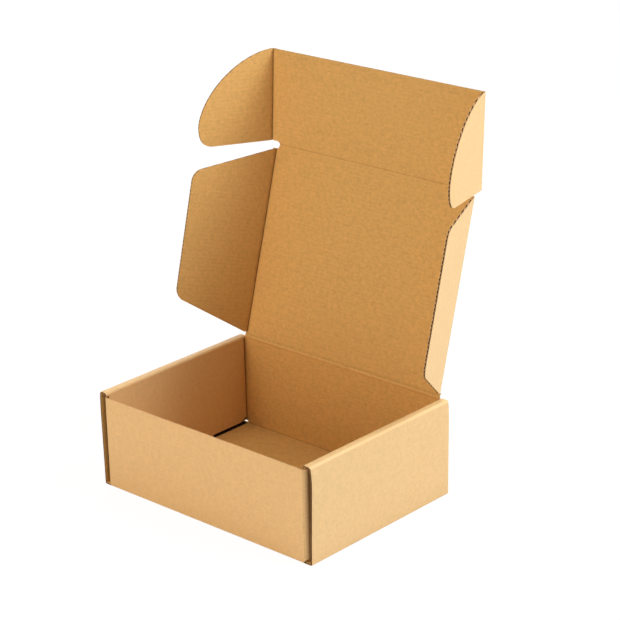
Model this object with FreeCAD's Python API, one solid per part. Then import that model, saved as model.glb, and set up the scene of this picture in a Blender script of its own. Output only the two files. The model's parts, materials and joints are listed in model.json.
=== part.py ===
"""A corrugated mailer box with its lid open.

The tray is one folded sheet with double side walls. The lid hangs on the back
wall. It carries two side flaps and a front flap, and the front flap carries two
ears that slide into the slots beside the front wall's tabs. Millimetres, with
the origin on the floor at the middle of the tray. X is right, Y is back, Z is up.
"""
import FreeCAD
import Part
import math
import os

Vector = FreeCAD.Vector

# Sheet
board = 1.6                 # thickness of the corrugated board
bend = 1.2                  # mid-line radius of a folded crease
play = 0.15                 # gap in a crease that swings

# Tray
width = 228.0               # over the outer side panels
depth = 162.0               # of the side panels, front to back
height = 82.0               # to the top of the rolled side walls
wall = 7.6                  # a rolled side wall, outer panel to inner panel
front_drop = 3.9            # the front wall stops this far below the side walls
front_stand = 1.1           # the front wall stands this far forward of the side panels
tab_length = 60.0           # corner tabs, inside the double walls
tab_notch = 2.0             # the corner tabs start this far above the floor
tab_slack = 0.1             # between a corner tab and the inner panel
panel_slack = 0.2           # between the inner panels and the front and back walls
floor_gap = 0.6             # below the inner panels
lock_length = 24.0          # the two lock tabs of an inner panel
lock_place = 25.0           # from the middle of the wall to the middle of a lock tab
lock_slack = 0.5            # around a lock tab in its slot in the floor
lock_lift = 0.2             # the lock tabs end this far above the ground

# Lid
lid_slack = 0.15            # between the closed lid and the side walls
front_slack = 2.2           # between the closed front flap and the front wall
front_flap_lift = 1.75      # between the closed front flap's edge and the ground
front_flap_start = 2.4      # the front flap and the ears start here beside the lid
flap_slack = 0.4            # between a side flap and the inner panel, with the lid closed
side_flap_lift = 2.65       # between a side flap's edge and the floor, with the lid closed
side_flap_rise = 1.9        # its rear corner is this much higher than its front corner
side_flap_inset = 1.8       # from the back crease to the side flap
side_flap_stop = 3.7        # from the side flap to the front crease
side_flap_front = 25.5      # from its front corner to the front crease
side_flap_rear = 27.1       # from the back crease to its rear corner
side_flap_round = 11.0      # its corners
slot_side = 0.6             # clear of the lid's crease at each end
ear_reach = 67.7            # how far an ear stands out from its crease
ear_wide = 19.2             # along the front flap, where an ear is longest
ear_power = 1.67            # roundness of an ear's curved edge
ear_corner = 12.8           # its lower corner, along the straight edge

# Angles of the open box, in degrees
lid_angle = 105.8            # from closed
front_flap_angle = 12.6      # from the lid's plane
left_side_flap_angle = 76.0
right_side_flap_angle = 64.3
left_ear_angle = 69.7
right_ear_angle = 72.7

# Places that follow from the sizes above
outer_x = width / 2 - board / 2
inner_x = width / 2 - wall + board / 2
inner_face = inner_x - board / 2
tab_x = inner_x + board + tab_slack
front_y = -depth / 2 - front_stand + board / 2
back_y = depth / 2 - board / 2
front_top = height - front_drop
hinge_z = height + lid_slack + board / 2
lid_face = hinge_z - board / 2
lid_half = inner_face - flap_slack - board
ear_slot = outer_x - tab_x - board
ear_x = tab_x + board / 2 + (ear_slot - board) / 2
front_crease_y = front_y - board / 2 - front_slack
front_flap_length = lid_face - front_flap_lift
side_flap_depth = lid_face - board - side_flap_lift
side_flap_rear_depth = side_flap_depth - side_flap_rise
side_flap_start_y = back_y - side_flap_inset
side_flap_end_y = front_crease_y + side_flap_stop
swing = board + play
past = 2 * board            # cutting shapes run this far past what they cut

UP = Vector(0, 0, 1)
ALONG_X = Vector(1, 0, 0)
ALONG_Y = Vector(0, 1, 0)


def xz_plane(y):
    """Places plane points (x, z) at one depth."""
    return lambda a, b: Vector(a, y, b)


def yz_plane(x):
    """Places plane points (y, z) at one side."""
    return lambda a, b: Vector(x, a, b)


def xy_plane(z):
    """Places plane points (x, y) at one height."""
    return lambda a, b: Vector(a, b, z)


def rounded_edges(corners, radii):
    """Edges of a closed outline whose corners have the given radii."""
    entries, leaves, arcs = [], [], []
    count = len(corners)
    for index, corner in enumerate(corners):
        into = (corner - corners[index - 1]).normalize()
        out = (corners[(index + 1) % count] - corner).normalize()
        radius = radii[index]
        if radius <= 0:
            entries.append(corner)
            leaves.append(corner)
            arcs.append(None)
            continue
        half_turn = into.getAngle(out) / 2
        reach = radius * math.tan(half_turn)
        inward = (out - into).normalize()
        centre = corner + inward * (radius / math.cos(half_turn))
        entries.append(corner - into * reach)
        leaves.append(corner + out * reach)
        arcs.append(centre - inward * radius)
    edges = []
    for index in range(count):
        if arcs[index] is not None:
            edges.append(Part.Arc(entries[index], arcs[index], leaves[index]).toShape())
        following = entries[(index + 1) % count]
        if (following - leaves[index]).Length > 1e-6:
            edges.append(Part.LineSegment(leaves[index], following).toShape())
    return edges


def rounded_face(points, radii, plane):
    """A flat face with rounded corners."""
    corners = [plane(a, b) for a, b in points]
    return Part.Face(Part.Wire(Part.__sortEdges__(rounded_edges(corners, radii))))


def sheet_outline(path):
    """Corner points and radii of a sheet that follows a mid-line with square bends."""
    half = board / 2
    count = len(path)
    headings = []
    for (a0, b0), (a1, b1) in zip(path, path[1:]):
        length = math.hypot(a1 - a0, b1 - b0)
        headings.append(((a1 - a0) / length, (b1 - b0) / length))
    points, radii = [], []
    for side in (1, -1):
        chain = []
        for index, (a, b) in enumerate(path):
            before = headings[max(index - 1, 0)]
            after = headings[min(index, count - 2)]
            square = 0 < index < count - 1
            shift_a = -before[1] - after[1] * square
            shift_b = before[0] + after[0] * square
            turn = before[0] * after[1] - before[1] * after[0]
            radius = bend - turn * side * half if square else 0
            chain.append(((a + shift_a * half * side, b + shift_b * half * side), radius))
        if side < 0:
            chain.reverse()
        points += [point for point, radius in chain]
        radii += [radius for point, radius in chain]
    return points, radii


def folded_sheet(path, plane, travel):
    """A bent sheet: its section swept straight along one direction."""
    points, radii = sheet_outline(path)
    return rounded_face(points, radii, plane).extrude(travel)


def box(x, y, z):
    """A box between pairs of limits."""
    corner = Vector(min(x), min(y), min(z))
    return Part.makeBox(abs(x[1] - x[0]), abs(y[1] - y[0]), abs(z[1] - z[0]), corner)


def rod(radius, start, direction, length):
    """A round bar from a point along a direction."""
    return Part.makeCylinder(radius, length, start, direction)


def walls_and_floor():
    """Floor and rolled side walls, one sheet bent along Y."""
    inner_foot = board + floor_gap
    roll_z = height - board / 2
    floor_z = board / 2
    path = [
        (-inner_x, inner_foot), (-inner_x, roll_z), (-outer_x, roll_z), (-outer_x, floor_z),
        (outer_x, floor_z), (outer_x, roll_z), (inner_x, roll_z), (inner_x, inner_foot),
    ]
    sheet = folded_sheet(path, xz_plane(-depth / 2), ALONG_Y * depth)
    below_roll = (board + tab_slack, height - board - play)
    front_end = (-depth / 2, front_y + board / 2 + panel_slack)
    back_end = (back_y - board / 2 - panel_slack, depth / 2)
    for side in (-1, 1):
        across = (side * (inner_face - board), side * (inner_x + board / 2 + tab_slack / 2))
        for ends in (front_end, back_end):
            sheet = sheet.cut(box(across, ends, below_roll))
    return sheet


def front_and_back():
    """Front wall, floor and back wall, one sheet bent along X, with the crease's round edge."""
    half = lid_half + board
    path = [(front_y, front_top), (front_y, board / 2), (back_y, board / 2), (back_y, hinge_z)]
    sheet = folded_sheet(path, yz_plane(-half), ALONG_X * 2 * half)
    crease = rod(board / 2, Vector(-half, back_y, hinge_z), ALONG_X, 2 * half)
    return sheet.fuse(crease)


def corner_tabs(wall_y, inward, top):
    """A front or back wall with the tabs that fold into the double side walls."""
    end = wall_y + inward * tab_length
    path = [(-tab_x, end), (-tab_x, wall_y), (tab_x, wall_y), (tab_x, end)]
    return folded_sheet(path, xy_plane(tab_notch), UP * (top - tab_notch))


def add_locks(tray):
    """Lock tabs on the inner panels, in slots through the floor."""
    for side in (-1, 1):
        for place in (-lock_place, lock_place):
            span = (place - lock_length / 2, place + lock_length / 2)
            inside, outside = side * inner_face, side * (inner_face + board)
            hole_x = (side * (inner_face - lock_slack), side * (inner_face + board + lock_slack))
            hole_y = (span[0] - lock_slack, span[1] + lock_slack)
            tray = tray.cut(box(hole_x, hole_y, (-board, board + floor_gap / 2)))
            tray = tray.fuse(box((inside, outside), span, (lock_lift, 2 * board + floor_gap)))
    return tray


def make_tray():
    """Tray: one folded sheet."""
    back_top = height - board - play
    tray = walls_and_floor().fuse([
        front_and_back(),
        corner_tabs(front_y, 1, front_top),
        corner_tabs(back_y, -1, back_top),
    ])
    return add_locks(tray).removeSplitter()


def round_edge(start, direction, length):
    """The quarter-round edge of a panel along a crease, on the outer side of its inner face."""
    return rod(board, start, direction, length)


def keep_thickness(shape):
    """Trims a shape of the closed lid's sheet to the board between its two faces."""
    slab = box((-width, width), (-2 * width, width), (lid_face, lid_face + board))
    return shape.common(slab)


def make_lid():
    """Lid panel, closed: flat, with a round edge along each crease."""
    start_y = back_y - board / 2 - play
    panel = box((-lid_half, lid_half), (start_y, front_crease_y), (lid_face, lid_face + board))
    run = side_flap_start_y - side_flap_end_y
    edges = [round_edge(Vector(-lid_half, front_crease_y, lid_face), ALONG_X, 2 * lid_half)]
    for side in (-1, 1):
        corner = Vector(side * lid_half, side_flap_end_y, lid_face)
        edges.append(round_edge(corner, ALONG_Y, run))
    return keep_thickness(panel.fuse(edges)).removeSplitter()


def crease_side(side, crease_x, ends):
    """Clear space around a crease along Y, and beyond it towards the middle."""
    low, high = min(ends) - past, max(ends) + past
    keep_out = rod(swing, Vector(side * crease_x, low, lid_face), ALONG_Y, high - low)
    inner = box((0, side * crease_x), (low, high), (lid_face - board, lid_face + 2 * board))
    return keep_out.fuse(inner)


def make_side_flap(side):
    """Side flap, flat beside the closed lid."""
    points = [
        (side * lid_half, side_flap_start_y),
        (side * (lid_half + side_flap_rear_depth), back_y - side_flap_rear),
        (side * (lid_half + side_flap_depth), front_crease_y + side_flap_front),
        (side * lid_half, side_flap_end_y),
    ]
    radii = [0, side_flap_round, side_flap_round, 0]
    flap = rounded_face(points, radii, xy_plane(lid_face)).extrude(UP * board)
    return flap.cut(crease_side(side, lid_half, (side_flap_start_y, side_flap_end_y)))


def make_front_flap():
    """Front flap, flat in front of the closed lid."""
    end_y = front_crease_y - front_flap_length
    start_y = front_crease_y - front_flap_start
    flap = box((-ear_x, ear_x), (front_crease_y, end_y), (lid_face, lid_face + board))
    edges = []
    for side in (-1, 1):
        corner = Vector(side * ear_x, end_y, lid_face)
        edges.append(round_edge(corner, ALONG_Y, front_flap_length - front_flap_start))
    flap = keep_thickness(flap.fuse(edges))
    gap_x = lid_half + slot_side
    crease = rod(swing, Vector(-gap_x, front_crease_y, lid_face), ALONG_X, 2 * gap_x)
    flap = flap.cut(crease)
    for side in (-1, 1):
        beside = box((side * gap_x, side * width), (front_crease_y + past, start_y), (0, 2 * height))
        flap = flap.cut(beside)
    return flap.removeSplitter()


def ear_outline(side):
    """Edges of an ear: a curved edge, a round corner and a straight edge."""
    place = xy_plane(lid_face)

    def point(along, out):
        return place(side * (ear_x + out), front_crease_y - along)

    steps = 12
    curve = []
    for step in range(steps + 1):
        turn = step / steps * math.pi / 2
        along = ear_wide + (front_flap_length - ear_wide) * math.cos(turn) ** (2 / ear_power)
        curve.append(point(along, ear_reach * math.sin(turn) ** (2 / ear_power)))
    curved = Part.BSplineCurve()
    curved.interpolate(curve)
    corner = Part.BezierCurve()
    foot = point(front_flap_start, ear_reach - ear_corner)
    corner.setPoles([curve[-1], point(front_flap_start, ear_reach), foot])
    root = point(front_flap_start, 0)
    lines = [Part.LineSegment(foot, root), Part.LineSegment(root, curve[0])]
    return [curved.toShape(), corner.toShape()] + [line.toShape() for line in lines]


def make_ear(side):
    """Ear, flat beside the front flap of the closed lid."""
    face = Part.Face(Part.Wire(Part.__sortEdges__(ear_outline(side))))
    ear = face.extrude(UP * board)
    return ear.cut(crease_side(side, ear_x, (front_crease_y - front_flap_length, front_crease_y)))


def swing_lid(shape):
    """Swings a shape of the closed lid open about the back crease."""
    shape.rotate(Vector(0, back_y, hinge_z), ALONG_X, -lid_angle)
    return shape


def fold_front(shape):
    """Folds a shape of the flat front flap about the front crease."""
    shape.rotate(Vector(0, front_crease_y, lid_face), ALONG_X, front_flap_angle)
    return shape


def fold_side(shape, side, crease_x, angle):
    """Folds a flap inwards about a crease along Y."""
    shape.rotate(Vector(side * crease_x, 0, lid_face), ALONG_Y * side, angle)
    return shape


def build():
    """All sub-parts in the open pose, by name."""
    parts = {"tray": make_tray()}
    parts["lid_panel"] = swing_lid(make_lid())
    parts["lid_front_flap"] = swing_lid(fold_front(make_front_flap()))
    sides = (
        ("left", -1, left_side_flap_angle, left_ear_angle),
        ("right", 1, right_side_flap_angle, right_ear_angle),
    )
    for name, side, flap_angle, ear_angle in sides:
        flap = fold_side(make_side_flap(side), side, lid_half, flap_angle)
        parts["lid_side_flap_" + name] = swing_lid(flap)
        ear = fold_side(make_ear(side), side, ear_x, ear_angle)
        parts["lid_ear_" + name] = swing_lid(fold_front(ear))
    return parts


os.makedirs("parts", exist_ok=True)
for part_name, part_shape in build().items():
    if part_shape.ShapeType != "Solid" and len(part_shape.Solids) == 1:
        part_shape = part_shape.Solids[0]
    part_shape.exportStep("parts/" + part_name + ".step")
    print(part_name, part_shape.isValid(), len(part_shape.Solids), round(part_shape.Volume))
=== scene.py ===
"""The looks of an open corrugated mailer box, as a small add-on.

Each panel is built as the board it is made of: two thin liners with a fluted
sheet between them. The tray's sheets run around their folds, and every crease
that swings is a strip of crushed board that bends between its two panels.
"""
import json
import math

import bpy
from bpy.props import FloatProperty, FloatVectorProperty, IntProperty, PointerProperty
from mathutils import Matrix, Vector, noise


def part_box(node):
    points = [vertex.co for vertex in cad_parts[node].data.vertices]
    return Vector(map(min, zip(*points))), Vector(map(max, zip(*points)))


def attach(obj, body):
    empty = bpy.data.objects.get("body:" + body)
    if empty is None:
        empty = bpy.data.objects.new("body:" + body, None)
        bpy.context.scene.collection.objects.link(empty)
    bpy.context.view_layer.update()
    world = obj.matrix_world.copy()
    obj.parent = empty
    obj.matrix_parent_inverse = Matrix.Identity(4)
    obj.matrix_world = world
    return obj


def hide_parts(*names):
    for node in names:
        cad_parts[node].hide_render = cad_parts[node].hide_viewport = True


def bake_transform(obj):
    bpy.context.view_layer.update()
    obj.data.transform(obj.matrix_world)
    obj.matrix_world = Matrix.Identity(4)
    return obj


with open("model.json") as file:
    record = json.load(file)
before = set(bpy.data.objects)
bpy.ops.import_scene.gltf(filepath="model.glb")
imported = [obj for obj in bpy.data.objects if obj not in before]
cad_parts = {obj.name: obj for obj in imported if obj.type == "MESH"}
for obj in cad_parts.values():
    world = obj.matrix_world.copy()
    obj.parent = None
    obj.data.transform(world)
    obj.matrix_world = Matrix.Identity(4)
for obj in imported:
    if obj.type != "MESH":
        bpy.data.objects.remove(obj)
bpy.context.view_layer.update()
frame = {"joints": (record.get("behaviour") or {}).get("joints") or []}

bl_info = {
    "name": "Mailer Box",
    "version": (1, 0, 0),
    "blender": (4, 5, 0),
    "location": "View3D > Sidebar > Mailer Box",
    "description": "Builds an open corrugated mailer box panel by panel",
    "category": "Add Mesh",
}

MM = 0.001
X_AXIS = Vector((1, 0, 0))
Y_AXIS = Vector((0, 1, 0))
Z_AXIS = Vector((0, 0, 1))
SIDES = (("left", -1), ("right", 1))

# Rows of faces beside a cut edge, and how far in the edge is pressed and worn
NEAR_EDGE = (0.35 * MM, 0.9 * MM, 1.8 * MM)
PINCH_REACH = 0.8 * MM
WEAR_REACH = 0.6 * MM
# Rows of faces across the flutes
FINE_ROW = 2.2 * MM
COARSE_ROW = 4.4 * MM
MOST_ROWS = 60
ROW_MARGIN = 3 * MM
NARROW_BOARD = 8 * MM
# A flat run's longest face, and the faces in a rounded corner
RUN_STEP = 20 * MM
BEVEL_STEPS = 10
PEG_SIDES = 40
# A crease's faces, and how much paler its outside is at the fold
CREASE_COLUMN = 3 * MM
CREASE_ROWS = 25
CREASE_PALE = 0.7
CREASE_PALE_WIDTH = 1.1 * MM
CREASE_SHARP = math.radians(60)
CORE_LINERS = 2.6
CORE_PRESSED = 0.5 * MM
WAVER_SCALE = 28
WAVER_GAIN = 1.4
# The pegs that round the ends of the slots beside the front crease
PEG_OUT = 0.2 * MM
PEG_DEPTH = 12 * MM
# How far the solids that trim a panel reach past its two faces
TRIM_REACH = 3 * MM
BEVEL_SHARE = 0.72
FLAP_SCORE = 0.75 * MM


def a_length(name, description, millimetres):
    """A length, given in millimetres."""
    return FloatProperty(name=name, description=description, default=millimetres * MM, unit="LENGTH")


def a_share(name, description, default, low=0, high=1):
    """A share of one."""
    return FloatProperty(name=name, description=description, default=default, min=low, max=high,
                         subtype="FACTOR")


def an_angle(name, description, degrees):
    """An angle, given in degrees."""
    return FloatProperty(name=name, description=description, default=math.radians(degrees), subtype="ANGLE")


def a_colour(name, description, default):
    """A colour."""
    return FloatVectorProperty(name=name, description=description, subtype="COLOR", size=3, min=0, max=1,
                               default=default)


def a_power(name, description, default):
    """A lamp's power."""
    return FloatProperty(name=name, description=description, default=default, subtype="POWER")


class BoardSettings(bpy.types.PropertyGroup):
    """The corrugated board."""
    thickness: a_length("Thickness", "Thickness of the board", 1.6)
    liner: a_length("Liner", "Thickness of each liner", 0.18)
    medium: a_length("Medium", "Thickness of the fluted sheet", 0.18)
    pitch: a_length("Flute pitch", "From one flute to the next", 3.27)
    flute_steps: IntProperty(
        name="Flute steps", description="Faces along one flute's wave", default=8, min=4, max=16)
    bend: a_length("Bend", "Mid-line radius of a folded corner", 1.2)
    sharp_bend: a_length("Sharp bend", "Mid-line radius of the wall's corners", 0.85)
    tab_bend: a_length("Tab bend", "Mid-line radius of a corner tab's fold", 0.6)
    tab_crush: a_share("Tab crush", "Share of the thickness that is left in a corner tab's fold", 0.6, 0.3)
    bend_crush: a_share("Bend crush", "Share of the thickness that is left in a bend", 0.78, 0.3)
    crease_half: a_length("Crease", "Half the width of a crushed crease", 2.4)
    edge_crush: a_share("Edge crush", "How far a cut edge is pressed together", 0.55, 0, 0.6)
    side_crush: a_share(
        "Side crush", "How far the side walls' front and back edges are pressed together", 0.28, 0, 0.6)


class TraySettings(bpy.types.PropertyGroup):
    """The tray, as the solids have it."""
    wall: a_length("Wall", "A rolled side wall, outer panel to inner panel", 7.6)
    front_drop: a_length("Front drop", "The front wall ends this far below the side walls", 3.9)
    front_stand: a_length("Front stand", "The front wall stands this far forward", 1.1)
    tab_length: a_length("Corner tab", "Length of a corner tab", 60)
    tab_notch: a_length("Tab notch", "The corner tabs start this far up", 2.0)
    hinge_crease: a_length("Lid crease", "Half the width of the lid's crease", 3.0)
    bulge_left: a_length("Left bulge", "How far the left outer panel bows out at its front", 0.7)
    bulge_right: a_length("Right bulge", "How far the right outer panel bows out at its front", 1.9)
    foot_gap: a_length("Foot gap", "Between the floor and the inner panels' edge", 2.7)
    foot_cut: a_length("Foot corner", "How far the inner panels' lower corners are cut back", 3.0)
    end_gap: a_length("End gap", "Between an inner panel's end and the wall", 1.2)
    corner_tuck: a_length("Corner tuck", "How far the wall's corners are folded inside the tabs' line", 1.9)
    tab_lift: a_length("Tab lift", "Gap below a corner tab", 1.9)
    # Where the near-black painted shade starts inside a rolled wall, measured from its ends
    hollow: a_length("Hollow", "From a rolled wall's end to where no light comes in", 12)
    rear_hollow: a_length("Rear hollow", "The same at the foot of the back", 1.5)
    lock_place: a_length("Lock tab place", "From the middle of the wall", 25)


class LidSettings(bpy.types.PropertyGroup):
    """The lid and its flaps, as the solids have them."""
    left_flap_angle: an_angle("Left side flap", "Fold from the lid's plane", 76.0)
    right_flap_angle: an_angle("Right side flap", "Fold from the lid's plane", 64.3)
    flap_depth: a_length("Side flap depth", "At its front corner", 77.9)
    flap_rear_depth: a_length("Side flap rear depth", "At its rear corner", 76.0)
    flap_start: a_length("Side flap start", "From the back crease", 1.8)
    flap_stop: a_length("Side flap stop", "From the front crease", 3.7)
    flap_front: a_length("Side flap front corner", "From the front crease", 25.5)
    flap_rear: a_length("Side flap rear corner", "From the back crease", 27.1)
    front_corner_left: a_length(
        "Left front corner", "Shift of the left flap's front corner along the lid", -4.0)
    rear_corner_left: a_length("Left rear corner", "Shift of the left flap's rear corner along the lid", 2.6)
    flap_round: a_length("Side flap corner", "Radius of its corners", 11)
    front_length: a_length("Front flap", "From its crease to its edge", 80.4)
    front_start: a_length("Front flap start", "Beside the lid's crease", 2.4)
    ear_reach: a_length("Ear reach", "From its crease to its widest point", 67.7)
    ear_wide: a_length("Ear width", "Along the front flap, where the ear is longest", 19.2)
    ear_power: FloatProperty(name="Ear roundness", description="Power of the ear's curved edge", default=1.67)
    ear_corner: a_length("Ear corner", "Its lower corner, along the straight edge", 12.8)


class PaperSettings(bpy.types.PropertyGroup):
    """The colours of the kraft paper, and a near-black painted shade."""
    outer: a_colour("Outer liner", "Colour of the board's outer face", (0.77, 0.495, 0.220))
    inner: a_colour("Inner liner", "Colour of the board's inner face", (0.69, 0.40, 0.130))
    # Painted shade: a near-black paper on hidden faces, in the flutes' openings and in deep hollows, where no
    # light reaches
    flute: a_colour("Dark openings", "Colour of the paper that no light reaches", (0.02, 0.010, 0.005))
    cut: a_colour("Cut edge", "Colour of the paper where it is cut", (0.70, 0.44, 0.22))
    mottle: a_share("Mottle", "Strength of the paper's cloudy colour", 0.40)
    streaks: a_share("Streaks", "Strength of the pale lines over the flutes", 0.022)
    washboard: a_length("Washboard", "Height of the flutes that show through", 0.02)


class StageSettings(bpy.types.PropertyGroup):
    """Camera and light."""
    azimuth: an_angle("Azimuth", "Camera, from the front to the right", 42.77)
    elevation: an_angle("Elevation", "Camera, above the floor", 20.98)
    roll: an_angle("Roll", "Camera", -1.41)
    distance: a_length("Distance", "Camera to the point it looks at", 1844.3)
    target: FloatVectorProperty(
        name="Target", description="Point the camera looks at", size=3, default=(-0.0476, 0.0979, 0.114),
        subtype="TRANSLATION")
    lens: FloatProperty(name="Lens", description="Focal length in millimetres", default=128.4)
    key: a_power("Key light", "Power of the lamp on the right", 23.0)
    high_key: a_power("High key light", "Power of the lamp above the right rear", 16.4)
    fill: a_power("Fill light", "Power of the lamp above the front", 10.4)
    low_fill: a_power("Low fill light", "Power of the lamp at the front", 11.5)
    top: a_power("Top light", "Power of the lamp overhead", 5.5)
    rear: a_power("Rear light", "Power of the lamp on the left rear", 12.0)
    sky: FloatProperty(name="Sky", description="Brightness of the surroundings", default=0.10)


# Frames of the panels

def joint(name):
    """A joint of the frame: its point, its axis and its range in degrees."""
    for entry in frame["joints"]:
        if entry["name"] == name:
            return Vector(entry["pos_m"]), Vector(entry["axis"]), entry["range_deg"]
    raise KeyError(name)


def panel_matrix(origin, along, across):
    """The place of a panel whose inner face is z = 0: along its flutes, across them, and inwards."""
    columns = (along, across, along.cross(across))
    rows = [[axis[row] for axis in columns] + [origin[row]] for row in range(3)]
    return Matrix(rows + [[0, 0, 0, 1]])


def lid_frame(board):
    """The lid's panel frame, from the back crease."""
    point, _, _ = joint("lid_hinge")
    _, away, _ = joint("side_flap_fold_left")
    inward = X_AXIS.cross(away)
    return panel_matrix(point + inward * board.thickness / 2, X_AXIS, away)


def front_frame():
    """The front flap's panel frame, from the front crease."""
    point, _, _ = joint("front_flap_fold")
    _, away, _ = joint("ear_fold_left")
    return panel_matrix(point, X_AXIS, away)


def folded_frame(parent, point, side, angle):
    """The frame of a flap that folds in from one side of a panel."""
    away = parent.col[1].xyz
    inward = parent.col[2].xyz
    out = X_AXIS * side * math.cos(angle) + inward * math.sin(angle)
    return panel_matrix(point, out, away * side)


def lid_measures(board):
    """The lid's panel frame, half its width, and its length between its two creases."""
    matrix = lid_frame(board)
    local = matrix.inverted()
    half = abs((local @ joint("side_flap_fold_right")[0]).x)
    length = (local @ joint("front_flap_fold")[0]).y
    return matrix, half, length


def slot_pegs(board, lid):
    """Round pegs that cut the ends of the slots between the ears and the side flaps."""
    matrix, half, length = lid_measures(board)
    radius = (lid.flap_stop + lid.front_start) / 2
    middle = length + (lid.front_start - lid.flap_stop) / 2
    inward = matrix.col[2].xyz
    spots = [matrix @ Vector((side * (half + PEG_OUT), middle, 0)) for _, side in SIDES]
    return [peg(spot, inward, radius, PEG_DEPTH) for spot in spots]


def flat_locate(matrix, thickness):
    """Puts the points of a flat panel in its frame, the inner face at z = 0."""
    def locate(point, normal, offset, across):
        return matrix @ Vector((point.x, across, offset - thickness / 2))
    return locate


# Mesh building

def start_clean():
    """Nothing selected, object mode."""
    if bpy.context.object and bpy.context.object.mode != "OBJECT":
        bpy.ops.object.mode_set(mode="OBJECT")
    bpy.ops.object.select_all(action="DESELECT")


def only(piece):
    """Makes one piece the selected and active one."""
    start_clean()
    piece.select_set(True)
    bpy.context.view_layer.objects.active = piece


def apply_modifier(piece, kind, **values):
    """Adds a modifier with these values and applies it."""
    only(piece)
    modifier = piece.modifiers.new(kind.title(), kind)
    for key, value in values.items():
        setattr(modifier, key, value)
    bpy.ops.object.modifier_apply(modifier=modifier.name)


def join(pieces, name):
    """Joins pieces into the first one and names it."""
    start_clean()
    for piece in pieces:
        piece.select_set(True)
    bpy.context.view_layer.objects.active = pieces[0]
    if len(pieces) > 1:
        bpy.ops.object.join()
    joined = bpy.context.view_layer.objects.active
    joined.name = name
    joined.data.name = name
    return joined


def smooth_faces(piece, angle=math.radians(40)):
    """Smooth shading with sharp edges above an angle."""
    only(piece)
    bpy.ops.object.shade_smooth_by_angle(angle=angle)


def outward(piece):
    """Faces of a closed mesh point outwards."""
    only(piece)
    bpy.ops.object.mode_set(mode="EDIT")
    bpy.ops.mesh.select_all(action="SELECT")
    bpy.ops.mesh.normals_make_consistent(inside=False)
    bpy.ops.object.mode_set(mode="OBJECT")


def grid_sheet(name, columns, rows, place, chart, wear_and_painted_light):
    """A sheet of columns by rows points, each set by place, with its flat chart in UV and its tone: paler for
    wear and painted highlight, darker for painted shade.
    """
    start_clean()
    bpy.ops.mesh.primitive_grid_add(x_subdivisions=columns - 1, y_subdivisions=rows - 1, size=1)
    sheet = bpy.context.active_object
    sheet.name = name
    mesh = sheet.data
    cells = []
    for vertex in mesh.vertices:
        column = round((vertex.co.x + 0.5) * (columns - 1))
        row = round((vertex.co.y + 0.5) * (rows - 1))
        cells.append((column, row))
    toned = mesh.attributes.new("wear_and_painted_light", "FLOAT", "POINT")
    for vertex, (column, row) in zip(mesh.vertices, cells):
        vertex.co = place(column, row)
        toned.data[vertex.index].value = wear_and_painted_light(column, row)
    layer = mesh.uv_layers.active
    for loop in mesh.loops:
        layer.data[loop.index].uv = chart(*cells[loop.vertex_index])
    return sheet


def thicken(sheet, thickness, material, toward=None, dark=None):
    """Gives a sheet its thickness and its paper, with the bare cut paper on its rim.

    Near-black painted shade goes on the side that looks toward this way, where no light reaches between the
    layers, and also where dark(centre) says so.
    """
    sheet.data.materials.clear()
    for name in (material, "kraft_cut", "kraft_painted_shade"):
        sheet.data.materials.append(bpy.data.materials[name])
    faces = len(sheet.data.polygons)
    centres = [polygon.center.copy() for polygon in sheet.data.polygons]
    apply_modifier(sheet, "SOLIDIFY", thickness=thickness, offset=0, material_offset_rim=1)
    if not toward:
        return
    polygons = sheet.data.polygons
    first = (polygons[0].center - centres[0]).dot(toward) > 0
    # Material 2 is the near-black painted shade
    for index in range(2 * faces):
        hidden = (index < faces) == first
        if hidden or (dark and dark(polygons[index].center)):
            polygons[index].material_index = 2


def cut_with(layer, cutters):
    """Trims a layer with closed solids. The new faces show the bare cut paper."""
    for cutter, operation in cutters:
        if not cutter.data.materials:
            cutter.data.materials.append(bpy.data.materials["kraft_cut"])
        apply_modifier(layer, "BOOLEAN", operation=operation, object=cutter, solver="EXACT",
                       material_mode="TRANSFER")


def spread(low, high, count):
    """Evenly spread values, both ends included."""
    return [low + (high - low) * index / (count - 1) for index in range(count)]


def straight_course(low, high, count=2):
    """A flat course along the flutes: point, normal and length from its start."""
    return [(Vector((value, 0)), Vector((0, 1)), value, 1.0) for value in spread(low, high, count)]


def bent_course(points, radii, crush, steps=6, marks=(), close=()):
    """A course that runs through points, with a radius for each corner, and extra points at the heights in
    marks and at the distances in close from both ends of a straight run.

    Its normals point to the inner face. In a corner the board is pressed to a share of its thickness.
    """
    course = []
    length = 0.0

    def add(point, normal, squeeze=1.0):
        nonlocal length
        if course:
            length += (point - course[-1][0]).length
        course.append((point, normal, length, squeeze))

    count = len(points)
    position = points[0]
    for index in range(1, count):
        heading = (points[index] - points[index - 1]).normalized()
        normal = Vector((-heading.y, heading.x))
        corner = index < count - 1
        radius = radii[index - 1] if corner else 0
        stop = points[index] - heading * radius if corner else points[index]
        pieces = max(1, round((stop - position).length / RUN_STEP))
        shares = {step / pieces for step in range(0 if not course else 1, pieces + 1)}
        rise = stop.y - position.y
        if abs(rise) > 1 * MM:
            places = [(mark - position.y) / rise for mark in marks]
            shares |= {place for place in places if 0.001 < place < 0.999}
        run = (stop - position).length
        for distance in close:
            if distance < run / 2:
                shares |= {distance / run, 1 - distance / run}
        for share in sorted(shares):
            add(position.lerp(stop, share), normal)
        if corner:
            after = (points[index + 1] - points[index]).normalized()
            turn = 1 if heading.x * after.y - heading.y * after.x > 0 else -1
            centre = stop + normal * turn * radius
            for step in range(1, steps + 1):
                angle = turn * math.pi / 2 * step / steps
                spun = normal.copy()
                spun.rotate(Matrix.Rotation(angle, 2))
                add(centre - spun * turn * radius, spun, 1 - (1 - crush) * math.sin(math.pi * step / steps))
            position = points[index] + after * radius
    return course


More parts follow.
